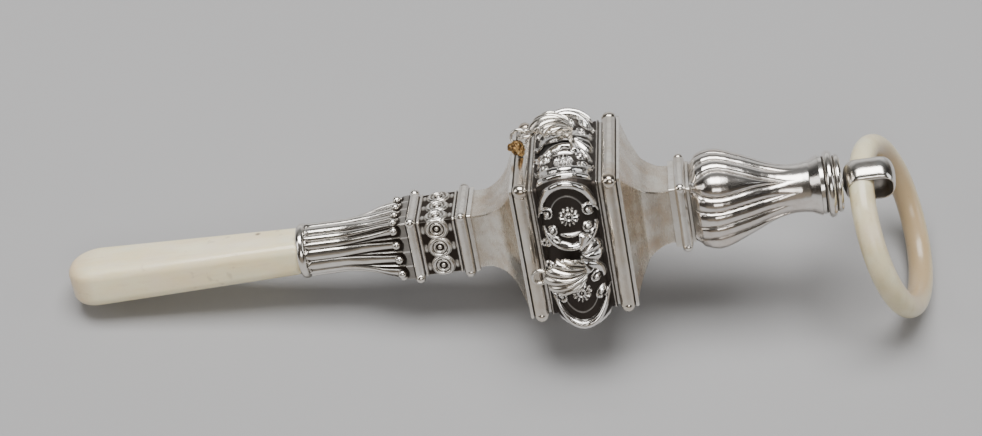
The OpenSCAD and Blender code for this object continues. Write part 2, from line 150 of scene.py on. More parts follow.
world = bpy.data.worlds.new("studio_room")
world.use_nodes = True
scene.world = world
n = Nodes(world.node_tree)
way = n.add("ShaderNodeTexCoord").outputs["Generated"]
split = n.add("ShaderNodeSeparateXYZ", Vector=way)
back = n.sum("MULTIPLY_ADD", split.outputs["Y"], 0.5, 0.5)
wall = n.ramp(back, [(0.0, (0.33, 0.285, 0.235)), (0.40, (0.14, 0.12, 0.105)), (0.62, (0.54, 0.54, 0.54)),
                     (1.0, (1.0, 1.0, 1.0))])
up = n.ramp(split.outputs["Z"], [(0.0, (1, 1, 1)), (0.28, (0.8, 0.8, 0.8)), (0.5, (0.20, 0.20, 0.20)),
                                 (1.0, (0.26, 0.26, 0.26))])
sides = n.ramp(n.sum("ABSOLUTE", split.outputs["X"]), [(0.35, (1, 1, 1)), (0.80, (0.10, 0.09, 0.08))])
sky = n.blend(1.0, n.blend(1.0, wall, up, "MULTIPLY"), sides, "MULTIPLY")
n.add("ShaderNodeOutputWorld", Surface=n.add("ShaderNodeBackground", Color=sky, Strength=1.0).outputs[0])

# ---------- teether ----------
# A tongue of mother-of-pearl, sawn from thick shell and rubbed down to a pillowed slab with
# well rounded edges. Its tang is bedded in pitch inside the ferrule.
MM = 0.001
HUB = Vector((13.496, 0.137, 20.104)) * MM
TILT = math.radians(9.073)
ROLL = math.radians(23.089)
swivel_place = Matrix.Translation(HUB) @ Matrix.Rotation(-TILT, 4, "Y")
body_place = swivel_place @ Matrix.Rotation(-ROLL, 4, "X")
shrink = Matrix.Scale(MM, 4)


def settle(piece, place=body_place):
    """Moves a piece drawn in millimetres about the long axis to where the rattle lies."""
    piece.data.transform(place @ shrink @ piece.matrix_world)
    piece.matrix_world = Matrix.Identity(4)
    return piece


def outward(piece):
    bm = bmesh.new()
    bm.from_mesh(piece.data)
    bmesh.ops.remove_doubles(bm, verts=bm.verts, dist=1e-7)
    bmesh.ops.recalc_face_normals(bm, faces=bm.faces)
    bm.to_mesh(piece.data)
    bm.free()
    return piece


def pick(piece):
    bpy.ops.object.select_all(action="DESELECT")
    piece.select_set(True)
    bpy.context.view_layer.objects.active = piece


def smooth(piece, angle=35):
    pick(piece)
    bpy.ops.object.shade_smooth_by_angle(angle=math.radians(angle))
    return piece


def stand_for(piece, finish, slot, body, *nodes):
    piece.data.materials.clear()
    piece.data.materials.append(finish)
    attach(piece, body)
    if nodes:
        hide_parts(*nodes)
    return piece


def axis_map(n):
    """Coordinates in metres about the rattle's own long axis, whichever way it lies."""
    where = n.add("ShaderNodeTexCoord").outputs["Object"]
    turn = n.add("ShaderNodeMapping", {"vector_type": "TEXTURE"}, Vector=where, Location=tuple(HUB),
                 Rotation=tuple(body_place.to_euler()))
    return turn.outputs[0]


def pearl_finish(name, light, deep, edge, stretch):
    finish, n = new_finish(name)
    own = axis_map(n)
    drawn = n.add("ShaderNodeMapping", Vector=own, Scale=stretch).outputs[0]
    cloud = n.noise(drawn, 260.0, 4.0, 0.55)
    layers = n.noise(drawn, 900.0, 5.0, 0.6)
    fine = n.noise(own, 2600.0, 3.0, 0.6)
    colour = n.blend(n.ramp(cloud, [(0.35, (0, 0, 0)), (0.68, (1, 1, 1))]), light, deep)
    streaks = n.ramp(layers, [(0.55, (0, 0, 0)), (0.75, (1, 1, 1))])
    colour = n.blend(n.sum("MULTIPLY", streaks, 0.35), colour, edge)
    blush = n.noise(own, 150.0, 2.0)
    colour = n.blend(n.sum("MULTIPLY", n.ramp(blush, [(0.5, (0, 0, 0)), (0.7, (1, 1, 1))]), 0.25), colour,
                     (0.92, 0.76, 0.68))
    colour = n.blend(n.sum("MULTIPLY", n.ramp(blush, [(0.3, (1, 1, 1)), (0.48, (0, 0, 0))]), 0.22), colour,
                     (0.74, 0.80, 0.68))
    rough = n.sum("MULTIPLY_ADD", fine, 0.22, 0.20)
    bump = n.add("ShaderNodeBump", Height=n.sum("ADD", layers, n.sum("MULTIPLY", fine, 0.4)), Strength=0.25,
                 Distance=0.00006)
    shader = n.add("ShaderNodeBsdfPrincipled", Base_Color=colour, Roughness=rough, Normal=bump.outputs[0])
    shader.inputs["Subsurface Weight"].default_value = 0.12
    shader.inputs["Subsurface Radius"].default_value = (0.002, 0.0015, 0.001)
    shader.inputs["Subsurface Scale"].default_value = 0.4
    shader.inputs["Coat Weight"].default_value = 0.5
    shader.inputs["Coat Roughness"].default_value = 0.12
    n.add("ShaderNodeOutputMaterial", Surface=shader.outputs[0])
    return finish, n, shader, own


slab_pearl, n, shader, own = pearl_finish("slab_pearl", light=(1.0, 0.91, 0.64), deep=(0.95, 0.81, 0.48),
                                          edge=(0.72, 0.56, 0.32), stretch=(0.25, 1.0, 1.0))
along = n.add("ShaderNodeSeparateXYZ", Vector=own)
worn_tip = n.ramp(n.sum("MULTIPLY_ADD", along.outputs["X"], -1 / 0.006, -0.0905 / 0.006), [(0.0, (0, 0, 0)),
                                                                                          (1.0, (1, 1, 1))])
stain = n.ramp(n.noise(own, 330.0, 2.0), [(0.66, (0, 0, 0)), (0.74, (1, 1, 1))])
pit_gap = n.add("ShaderNodeVectorMath", {"operation": "DISTANCE"})
n.put(pit_gap.inputs[0], own)
pit_gap.inputs[1].default_value = (-0.0597, 0.0022, 0.0036)
pit = n.ramp(n.sum("MULTIPLY", pit_gap.outputs["Value"], 1 / 0.0016),
             [(0.15, (1, 1, 1)), (0.42, (0, 0, 0))])
base = shader.inputs["Base Color"].links[0].from_socket
base = n.blend(n.sum("MULTIPLY", worn_tip, 0.55), base, (0.55, 0.30, 0.13))
base = n.blend(n.sum("MULTIPLY", stain, 0.35), base, (0.38, 0.26, 0.16))
base = n.blend(n.sum("MULTIPLY", pit, 0.8), base, (0.12, 0.07, 0.04))
n.put(shader.inputs["Base Color"], base)

bpy.ops.object.select_all(action="DESELECT")
bpy.ops.mesh.primitive_cube_add(size=1, location=(-73.4, 0, 0), scale=(45.6, 12.2, 7.7))
slab = bpy.context.active_object
slab.name = "teether_slab"
bpy.ops.object.transform_apply(location=True, rotation=True, scale=True)
for vert in slab.data.vertices:
    if vert.co.x > -60:
        vert.co.y *= 8.6 / 12.2
        vert.co.z *= 6.8 / 7.7
bpy.ops.object.mode_set(mode="EDIT")
bpy.ops.mesh.select_all(action="DESELECT")
bpy.ops.mesh.select_mode(type="EDGE")
bm = bmesh.from_edit_mesh(slab.data)
for edge in bm.edges:
    a, b = edge.verts
    edge.select_set(a.co.x < -90 and b.co.x < -90 and abs(a.co.y - b.co.y) < 1)
bmesh.update_edit_mesh(slab.data)
bpy.ops.mesh.bevel(offset=5.9, segments=18, profile=0.5, affect="EDGES")
bpy.ops.mesh.select_all(action="DESELECT")
bm = bmesh.from_edit_mesh(slab.data)
for edge in bm.edges:
    if len(edge.link_faces) == 2 and max(v.co.x for v in edge.verts) < -49:
        turned_by = edge.calc_face_angle(0)
        if turned_by > 1.0:
            edge.select_set(True)
    if min(v.co.x for v in edge.verts) < -90 and len(edge.link_faces) == 2:
        if edge.calc_face_angle(0) > 1.0:
            edge.select_set(True)
for edge in bm.edges:
    if max(v.co.x for v in edge.verts) > -60 and min(v.co.x for v in edge.verts) < -60:
        edge.select_set(edge.calc_face_angle(0) > 1.0)
bmesh.update_edit_mesh(slab.data)
bpy.ops.mesh.bevel(offset=2.0, segments=8, profile=0.5, affect="EDGES")
bpy.ops.object.mode_set(mode="OBJECT")
smooth(outward(settle(slab)), 30)
stand_for(slab, slab_pearl, "mother_of_pearl", "handle", "teether")

# ---------- collar bead and ferrule ----------
# A bead of silver wire closes the ferrule's round mouth round the shell slab. The ferrule is
# stamped sheet: round at the mouth, square at the block, with sixteen tapering reeds that
# each end in a small ball, the hollows between them left dark.


def silver_finish(name, light=(0.87, 0.845, 0.795), dull=(0.69, 0.62, 0.53), dark=(0.045, 0.035, 0.028),
                  rough=0.14, brush=(1, 1, 1), tarnish=0.5, crevice=0.0016):
    """Old silver: bright where it is handled, yellowed in patches, black in the hollows: partly real tarnish,
    partly painted shade from an ambient occlusion mask.
    """
    finish, n = new_finish(name)
    own = axis_map(n)
    patch = n.noise(own, 170.0, 4.0, 0.6)
    mottle = n.noise(own, 620.0, 4.0, 0.62)
    drawn = n.add("ShaderNodeMapping", Vector=own, Scale=brush).outputs[0]
    scratches = n.noise(drawn, 2400.0, 5.0, 0.7)
    colour = n.blend(n.ramp(patch, [(0.40, (0, 0, 0)), (0.70, (tarnish,) * 3)]), light, dull)
    colour = n.blend(n.ramp(mottle, [(0.52, (0, 0, 0)), (0.72, (tarnish * 0.6,) * 3)]),
                     colour, (0.56, 0.47, 0.40))
    # crevices turn black by ambient occlusion: real tarnish plus painted shade where little light reaches
    shade = n.add("ShaderNodeAmbientOcclusion", {"samples": 8, "only_local": False}, Distance=crevice)
    tarnish_and_shade = n.ramp(shade.outputs["AO"], [(0.30, (1, 1, 1)), (0.75, (0, 0, 0))])
    sunk = n.add("ShaderNodeAttribute", {"attribute_name": "hollow"}).outputs["Fac"]
    black = n.sum("MAXIMUM", n.sum("MULTIPLY", tarnish_and_shade, 0.75), sunk, clamp=True)
    uneven = n.sum("MULTIPLY_ADD", n.sum("SUBTRACT", mottle, 0.5), 0.7, black, clamp=True)
    black = n.sum("MULTIPLY", black, n.sum("ADD", uneven, 0.35, clamp=True), clamp=True)
    colour = n.blend(black, colour, dark)
    shine = n.sum("MULTIPLY_ADD", scratches, 0.14, rough - 0.07)
    shine = n.sum("MULTIPLY_ADD", black, 0.38, n.sum("MULTIPLY_ADD", patch, 0.10, shine), clamp=True)
    height = n.sum("ADD", n.sum("MULTIPLY", scratches, 0.5), mottle)
    bump = n.add("ShaderNodeBump", Height=height, Strength=0.22, Distance=0.00005)
    shader = n.add("ShaderNodeBsdfPrincipled", Base_Color=colour, Metallic=1.0, Roughness=shine,
                   Normal=bump.outputs[0])
    n.add("ShaderNodeOutputMaterial", Surface=shader.outputs[0])
    return finish


bead_silver = silver_finish("bead_silver", rough=0.12, tarnish=0.35)
ferrule_silver = silver_finish("ferrule_silver", rough=0.13, brush=(0.2, 1, 1), tarnish=0.4)

bpy.ops.object.select_all(action="DESELECT")
bpy.ops.mesh.primitive_torus_add(major_radius=4.28, minor_radius=0.92, major_segments=96, minor_segments=24,
                                 location=(-51.05, 0, 0), rotation=(0, math.pi / 2, 0))
bead = bpy.context.active_object
bead.name = "collar_bead"
smooth(outward(settle(bead)), 60)
for vert in bead.data.vertices:
    vert.co += vert.normal * noise.noise(vert.co * 420) * 0.00007
stand_for(bead, bead_silver, "silver", "handle", "ferrule_collar")


def skin(name, rings, joined=False, hollow=None, place=body_place, crease=40):
    """A surface through equal loops of points, first to last; joined also closes last to first."""
    rings = np.asarray(rings, float)
    rows, count = rings.shape[:2]
    flat = rings.reshape(-1, 3)
    k = np.arange(count)
    nxt = (k + 1) % count
    faces = []
    for i in range(rows if joined else rows - 1):
        a, b = i * count, ((i + 1) % rows) * count
        faces += np.stack([a + k, a + nxt, b + nxt, b + k], 1).tolist()
    if not joined:
        faces += [list(range(count)), list(range((rows - 1) * count, rows * count))]
    mesh = bpy.data.meshes.new(name)
    mesh.from_pydata(flat.tolist(), [], faces)
    piece = bpy.data.objects.new(name, mesh)
    scene.collection.objects.link(piece)
    if hollow is not None:
        mark = mesh.attributes.new("hollow", "FLOAT", "POINT")
        mark.data.foreach_set("value", np.asarray(hollow, np.float32).reshape(-1))
    settle(piece, place)
    bm = bmesh.new()
    bm.from_mesh(mesh)
    bmesh.ops.recalc_face_normals(bm, faces=bm.faces)
    bm.to_mesh(mesh)
    bm.free()
    return smooth(piece, crease)


def step(low, high, value):
    t = np.clip((value - low) / (high - low), 0, 1)
    return t * t * (3 - 2 * t)


def square_rings(xs, half, corner, around, lift=None):
    """Loops of a square bar with rounded corners: lift raises the surface face by face."""
    xs, half, corner = (np.broadcast_to(np.asarray(v, float), (len(xs),)) for v in (xs, half, corner))
    per = around // 4
    s = 2 * np.arange(per) / per - 1
    across = s[None, :] * half[:, None]
    run = (half - corner)[:, None]
    beyond = np.maximum(0, np.abs(across) - run)
    ny, nz = np.sign(across) * beyond, np.broadcast_to(corner[:, None], across.shape)
    size = np.hypot(ny, nz) + 1e-9
    ny, nz = ny / size, nz / size
    y = np.clip(across, -run, run) + corner[:, None] * ny
    z = run + corner[:, None] * nz
    sides, marks = [], []
    for side in range(4):
        up = dark = np.zeros_like(across)
        if lift:
            up, dark = lift(side, np.broadcast_to(xs[:, None], across.shape), across)
        py, pz = y + ny * up, z + nz * up
        for _ in range(side):
            py, pz = pz, -py
        sides.append(np.stack([np.broadcast_to(xs[:, None], across.shape), py, pz], 2))
        marks.append(dark)
    return np.concatenate(sides, 1), np.concatenate(marks, 1)


def add_balls(name, spots, place=body_place, squash=0.06):
    """Small soldered balls, each a little uneven, as one piece to be joined to its neighbour."""
    balls = []
    for k, (x, y, z, r) in enumerate(spots):
        bpy.ops.object.select_all(action="DESELECT")
        bpy.ops.mesh.primitive_uv_sphere_add(segments=28, ring_count=16, radius=r, location=(x, y, z))
        ball = bpy.context.active_object
        settle(ball, place)
        centre = place @ shrink @ Vector((x, y, z))
        for vert in ball.data.vertices:
            out = (vert.co - centre).normalized()
            vert.co += out * r * MM * squash * noise.noise(vert.co * 700 + Vector((k, 0, 0)))
        balls.append(ball)
    for ball in balls:
        smooth(ball, 180)
    bpy.ops.object.select_all(action="DESELECT")
    for ball in balls:
        ball.select_set(True)
    bpy.context.view_layer.objects.active = balls[0]
    if len(balls) > 1:
        bpy.ops.object.join()
    balls[0].name = name
    return balls[0]


def join_to(piece, *others):
    bpy.ops.object.select_all(action="DESELECT")
    for other in (piece, *others):
        other.select_set(True)
    bpy.context.view_layer.objects.active = piece
    bpy.ops.object.join()
    return piece


# Loops run along the ferrule: the section eases from a circle to a square.
around = 576
xs = np.concatenate([[-50.1], np.linspace(-50.0, -30.55, 118)])
square = step(-44, -31.5, xs)
half = np.interp(xs, [-50.1, -42, -38, -34.5, -32, -30.55], [4.98, 5.0, 5.15, 5.6, 5.9, 5.98])
corner = half * (1 - 0.9 * square)
angle = np.interp(np.arange(around) / around, [0, 1], [0, 16])


def reeds(side, x, across):
    """Reeds: wide and touching at the mouth, narrow at the square end."""
    limit = np.interp(x, xs, half)
    cell = (across / limit + 1) * 2
    v = (cell - np.floor(cell)) * 2 - 1
    along = (x + 50.1) / 17.2
    wide = np.clip(1.0 - 0.50 * step(0.25, 0.95, along), 0.1, 1) * np.sqrt(np.clip((x + 50.3) / 0.9, 0, 1))
    tall = 0.62 - 0.22 * along
    reed = tall * np.sqrt(np.clip(1 - (v / np.maximum(wide, 0.05)) ** 2, 0, 1)) * step(-32.6, -33.4, x)
    between = 0.34 * step(0.35, 0.85, along) * np.clip(1 - np.abs(np.abs(v) - 1) / 0.16, 0, 1) ** 0.7
    arch = -31.75 - 0.55 * v * v
    beyond = step(0.0, 0.35, x - arch)
    mouth = 1 - step(-50.05, -49.75, x)
    up = -0.58 + np.maximum(np.maximum(reed, between), np.maximum(0.5 * beyond, 0.30 * mouth))
    dark = np.clip(1.25 - np.maximum(reed * 3.2, between * 3.4), 0, 1) * (1 - 0.35 * beyond) * (1 - mouth)
    return up, dark


rings, marks = square_rings(xs, half, corner, around, reeds)
bore, none = square_rings(np.array([-30.55, -40.0, -50.1]), [4.3, 4.2, 4.1], [1.0, 3.0, 4.0], around)
ferrule = skin("reeded_ferrule", np.concatenate([rings, bore]), True, np.concatenate([marks, none]))
tips = []
for turn in range(4):
    for y in (-4.5, -1.5, 1.5, 4.5):
        py, pz = y, 5.62
        for _ in range(turn):
            py, pz = pz, -py
        tips.append((-32.9, py, pz, 0.8))
join_to(ferrule, add_balls("reed_tips", tips))
stand_for(ferrule, ferrule_silver, "silver", "handle", "fluted_ferrule")

# ---------- square block ----------
# Two half round mouldings, mitred and beaded at the corners, hold a stamped panel with three
# linked ring bosses on each face. All of it is sheet silver soldered together.
moulding_silver = silver_finish("moulding_silver", rough=0.17, brush=(1, 1, 1), tarnish=0.7)
panel_silver = silver_finish("panel_silver", rough=0.20, tarnish=0.6)


def half_round(name, x, half, w, inner, corner=0.35, extra=(), around=256):
    """A mitred half round moulding, with any plain step that is soldered to its side."""
    turns = np.linspace(math.pi, 0, 22)
    profile = [(x + w / 2 * math.cos(t), half - w / 2 + w / 2 * math.sin(t)) for t in turns]
    profile += list(extra) + [(profile[-1][0] if not extra else extra[-1][0], inner), (x - w / 2, inner)]
    px = np.array([p[0] for p in profile])
    ph = np.array([p[1] for p in profile])
    rings, marks = square_rings(px, ph, corner, around)
    return skin(name, rings, True, marks, crease=50)


moulding = half_round("block_bead_left", -29.6, 6.31, 1.9, 4.4)
corners = [(-29.6, y * 5.76, z * 5.76, 0.94) for y in (-1, 1) for z in (-1, 1)]
join_to(moulding, add_balls("left_corner_beads", corners))
stand_for(moulding, moulding_silver, "silver", "handle", "block_moulding_left")

moulding = half_round("block_bead_right", -20.25, 6.54, 2.2, 4.4,
                      extra=((-19.1, 5.9), (-18.42, 5.9), (-18.35, 5.83)))
join_to(moulding, add_balls("right_corner_beads", [(-20.25, y * 5.75, z * 5.75, 0.9) for y in (-1, 1)
                                                    for z in (-1, 1)]))
stand_for(moulding, moulding_silver, "silver", "handle", "block_moulding_right")


def bosses(side, x, across):
    """Three linked bosses: a broad ring, a fine ring and a dot."""
    best = np.full_like(x, 99.0)
    for y in (-3.78, 0.0, 3.78):
        best = np.minimum(best, np.hypot(x + 25.0, across - y))
    up = np.zeros_like(x)
    for r, wide, tall in ((1.70, 0.36, 0.42), (1.02, 0.26, 0.34), (0.0, 0.44, 0.40)):
        up = np.maximum(up, tall * np.sqrt(np.clip(1 - ((best - r) / wide) ** 2, 0, 1)))
    line = 0.16 * np.clip(1 - np.abs(best - 2.12) / 0.13, 0, 1)
    edge = np.minimum(x + 28.65, -21.35 - x)
    rim = 0.34 * step(0.75, 0.45, edge)
    ribs = 0.30 * np.clip(1 - np.abs(np.abs(across) - 5.62) / 0.28, 0, 1) * step(0.5, 0.8, edge)
    wedge = np.abs(np.abs(x + 25.0) - 2.55)
    fill = (0.22 * np.clip(1 - wedge / 0.5, 0, 1) * (best > 2.2)
            * np.clip(np.cos(across * math.pi / 1.89), 0, 1))
    up = np.maximum.reduce([up, line, rim, ribs, fill])
    groove = step(0.28, 0.06, edge)
    return up - 0.45 * groove, np.clip(1.1 - up * 5.5, 0, 1) * (1 - 0.2 * groove)


xs = np.linspace(-28.65, -21.35, 92)
rings, marks = square_rings(xs, 5.45, 0.25, 640, bosses)
back, none = square_rings(np.array([-21.35, -28.65]), 4.4, 0.25, 640)
panel = skin("boss_panel", np.concatenate([rings, back]), True, np.concatenate([marks, none]))
stand_for(panel, panel_silver, "silver", "handle", "block_panel")

# ---------- hub: plates, necks and frames ----------
# The bell-bearing middle is a square box: a plate at each end, a hollow cove neck brought up
# to it and a half round frame mitred round each edge, with a blob of solder at every corner.
neck_silver = silver_finish("brushed_neck_silver", light=(0.79, 0.75, 0.67), dull=(0.58, 0.46, 0.34),
                            rough=0.22, brush=(1, 0.25, 0.25), tarnish=1.0, crevice=0.003)
plate_silver = silver_finish("plate_silver", rough=0.18, tarnish=0.6)
frame_silver = silver_finish("frame_silver", light=(0.80, 0.76, 0.69), dull=(0.58, 0.47, 0.35), rough=0.15,
                             tarnish=0.75)


def cove(name, points, inner_wall=0.8, around=240):
    """A hollow square neck: the outline is smoothed, then followed one wall further in."""
    px = np.array([p[0] for p in points])
    ph = np.array([p[1] for p in points])
    t = np.linspace(0, len(points) - 1, 60)
    k = np.clip(t.astype(int), 0, len(points) - 2)
    f = t - k

    def curve(v):
        before, after = v[np.maximum(k - 1, 0)], v[np.minimum(k + 2, len(v) - 1)]
        return 0.5 * (2 * v[k] + (v[k + 1] - before) * f
                      + (2 * before - 5 * v[k] + 4 * v[k + 1] - after) * f ** 2
                      + (3 * v[k] - before - 3 * v[k + 1] + after) * f ** 3)

    xs, half = curve(px), curve(ph)
    outer, _ = square_rings(xs, half, 0.14, around)
    inner, _ = square_rings(xs[::-1], half[::-1] - inner_wall, 0.14, around)
    return skin(name, np.concatenate([outer, inner]), True, crease=50)


neck = cove("cove_neck_left", [(-18.35, 5.35), (-17, 5.3), (-15.8, 5.45), (-14.6, 5.85), (-13.5, 6.5),
                               (-12.6, 7.3), (-11.8, 8.3), (-11.1, 9.5), (-10.5, 10.7), (-9.9, 12.0)])
stand_for(neck, neck_silver, "silver", "handle", "neck_left")
neck = cove("cove_neck_right", [(9.9, 12.0), (10.5, 10.7), (11.1, 9.5), (11.8, 8.4), (12.7, 7.1),
                                (13.6, 6.4), (14.6, 5.9), (15.8, 5.45), (17.1, 5.3), (17.75, 5.3)])
stand_for(neck, neck_silver, "silver", "handle", "neck_right")

for side, word in ((-1, "left"), (1, "right")):
    plate_x = np.array([6.05, 9.2, 9.3, 9.35, 9.8, 9.9, 9.9, 9.2, 9.2, 6.05]) * side
    plate_half = [12.48, 12.48, 12.6, 13.05, 13.05, 12.95, 8.6, 8.6, 11.6, 11.6]
    rings, _ = square_rings(plate_x, plate_half, 0.15, 240)
    plate = skin("hub_step_plate_" + word, rings, True, crease=40)
    stand_for(plate, plate_silver, "silver", "handle", "hub_plate_" + word)
    edge = half_round("hub_edge_frame_" + word, 7.9 * side, 13.75, 2.8, 12.45, corner=0.5, around=320)
    blobs = []
    for y in (-1, 1):
        for z in (-1, 1):
            low_front = y < 0 and z < 0
            blobs.append((7.9 * side, y * 12.7, z * 12.7, 1.15 if low_front else 1.38))
            if not low_front:
                blobs.append((7.7 * side, y * 12.95, z * 11.6, 0.8))
    join_to(edge, add_balls("solder_blobs", blobs, squash=0.12))
    stand_for(edge, frame_silver, "silver", "handle", "hub_frame_" + word)

# ---------- hub: embossed band ----------
# One strip of sheet silver chased from behind and closed round the hub. Each face has two
# flowers in scrolled cartouches and a fan beside the lug; two faces have a rib at each corner.
# The ground is blackened, the raised work is polished.
band_silver = silver_finish("band_silver", light=(0.88, 0.86, 0.83), dull=(0.72, 0.66, 0.58),
                            dark=(0.060, 0.051, 0.045), rough=0.11, tarnish=0.3, crevice=0.0011)


def round_bar(gap, wide, tall):
    return tall * np.sqrt(np.clip(1 - (gap / np.maximum(wide, 1e-3)) ** 2, 0, 1))


def chased(side, x, across):
    """Height above the band's ground, and how black each place is."""
    y = across * 15.3 / np.maximum(np.abs(across).max(axis=1, keepdims=True), 1)
    a = np.abs(y)
    up = np.zeros_like(x)

    def raise_to(value):
        np.maximum(up, value, out=up)

    def scroll(cx, cy, wide, high, where, thin, thick):
        """A half oval bar, thickest at its crown."""
        px, py = x - cx, a - cy
        q = np.hypot(px / wide, py / high) + 1e-6
        gap = np.abs(q - 1) * np.hypot(px, py) / q
        crown = np.clip(where * py / high, 0, 1)
        raise_to(round_bar(gap, thin + thick * crown, thin + (thick + 0.15) * crown) * (where * py > -0.35))

    def curl(vx, vy, r, turn_in):
        """A volute: a ball with a fine coil round it."""
        px, py = np.abs(x) - vx, a - vy
        d = np.hypot(px, py)
        raise_to(round_bar(d, r * 0.62, r * 0.95))
        swing = np.arctan2(py * turn_in, -px)
        raise_to(round_bar(d - r * (0.95 + 0.12 * swing), 0.24, 0.55 * r) * (swing > -2.4))

    # straight rib along the corner, on one side of it only, and the strip's own borders
    rib = np.where(side % 2 == 0, 13.4 - a, 99.0)
    raise_to(round_bar(rib, 0.72, 0.85) * step(5.1, 4.5, np.abs(x)))
    raise_to(round_bar(np.abs(x) - 5.7, 0.15, 0.28))
    # the cartouche: a bold scroll over the crown, a lighter one below, volutes between them
    scroll(0, 9.6 if side % 2 else 8.6, 4.75, 4.6 if side % 2 else 2.9, 1, 0.42, 0.60)
    scroll(0, 6.0, 4.7, 4.3, -1, 0.36, 0.42)
    curl(3.8, 8.8, 1.1, 1)
    curl(3.3, 5.4, 0.95, -1)
    # crescent and the fine line inside
    raise_to(round_bar(np.hypot(x / 2.0, (a - 4.0 - 0.09 * x * x) / 0.45) * 0.45, 0.45, 0.5))
    d = np.hypot(x / 3.0, (a - 8.4) / 3.3)
    raise_to(0.18 * np.clip(1 - np.abs(d - 1) * 3.0 / 0.2, 0, 1) * (a > 8.6))
    # flower with pointed petals and a ringed centre
    fx, fy = x - 0.15, a - 7.7
    r = np.hypot(fx, fy)
    petal = np.cos(6 * np.arctan2(fy, fx)) ** 2
    raise_to(0.95 * petal ** 0.7 * step(2.0, 1.5, r * (1.15 - 0.15 * petal)) * step(0.5, 0.8, r)
             * (0.4 + 0.6 * r / 1.7))
    raise_to(round_bar(r - 0.62, 0.24, 0.66))
    raise_to(round_bar(r, 0.26, 0.5))
    # fan beside the lug, towards the handle
    r, swing = np.hypot(x - 0.9, a), np.arctan2(a, x - 0.9)
    rays = np.abs(np.sin(swing * 3.6 + 0.5)) ** 0.6
    raise_to((0.25 + 0.75 * rays) * step(4.5, 3.9, r * (1 + 0.14 * (1 - rays))) * step(0.2, 1.4, r)
             * (np.abs(swing) < 1.45) * rays)
    # curls and leaves at the root of the lug and in the spandrels
    for lx, ly, r0, tall in ((-3.0, 3.1, 0.85, 0.75), (-4.7, 2.6, 0.7, 0.65)):
        d = np.hypot(x - lx, a - ly)
        raise_to(round_bar(d - r0, 0.27, tall * 0.8))
        raise_to(round_bar(d, 0.36, tall))
    sweep = np.hypot((x + 4.9) / 5.2, (a - 0.9) / 2.2)
    raise_to(round_bar((sweep - 1) * 2.6, 0.34, 0.55) * (x > -5.0) * (x < 0.2) * (a > 1.4))
    for way_x in (-1, 1):
        d = np.hypot((x - way_x * 5.6) / 1.5, (a - 12.2) / 3.0)
        raise_to(round_bar((d - 1) * 1.7, 0.28, 0.45) * (np.abs(x) < 5.2) * (a < 12.4) * (a > 9.4))
    dark = np.clip(1.1 - up * 3.2, 0, 1)
    return up - 0.50 * step(5.4, 4.9, np.abs(x)), dark


xs = np.linspace(-6, 6, 116)
half = np.interp(np.abs(xs), [0, 0.9, 1.8, 2.6, 3.5, 4.4, 5.0, 5.4, 6],
                 [15.45, 15.38, 15.2, 14.95, 14.5, 13.85, 13.25, 12.85, 12.85])
corner = np.interp(np.abs(xs), [0, 4.4, 6], [1.7, 1.5, 0.5])
rings, marks = square_rings(xs, half, corner, 800, chased)
back, none = square_rings(np.array([6.0, -6.0]), 11.9, 0.5, 800)
band = skin("embossed_band", np.concatenate([rings, back]), True, np.concatenate([marks, none]), crease=60)
stand_for(band, band_silver, "silver", "handle", "hub_band", "hub_scrollwork")

# ---------- lugs ----------
# Four cast palmette leaves arch out from the band, one on each face, and end in an eye. The
# top and back ones still carry a jump ring in a round wire eye; the other two are empty.
lug_silver = silver_finish("lug_silver", light=(0.84, 0.81, 0.75), dull=(0.66, 0.57, 0.46), rough=0.17,
                           tarnish=0.5, crevice=0.0013)
ARCH = (-2.2, 16.33, 4.0)


def on_arch(s, y, out):
    """A point s along the arch from the leaf's heart, y across it and out from its mid line."""
    turn = math.radians(74) - s / 4.2
    drop = 0.8 * (5 - np.sqrt(np.clip(25 - y * y, 0, 25)))
    r = ARCH[2] + out - drop
    return np.stack(np.broadcast_arrays(ARCH[0] + r * np.sin(turn), y, ARCH[1] + r * np.cos(turn)), -1)


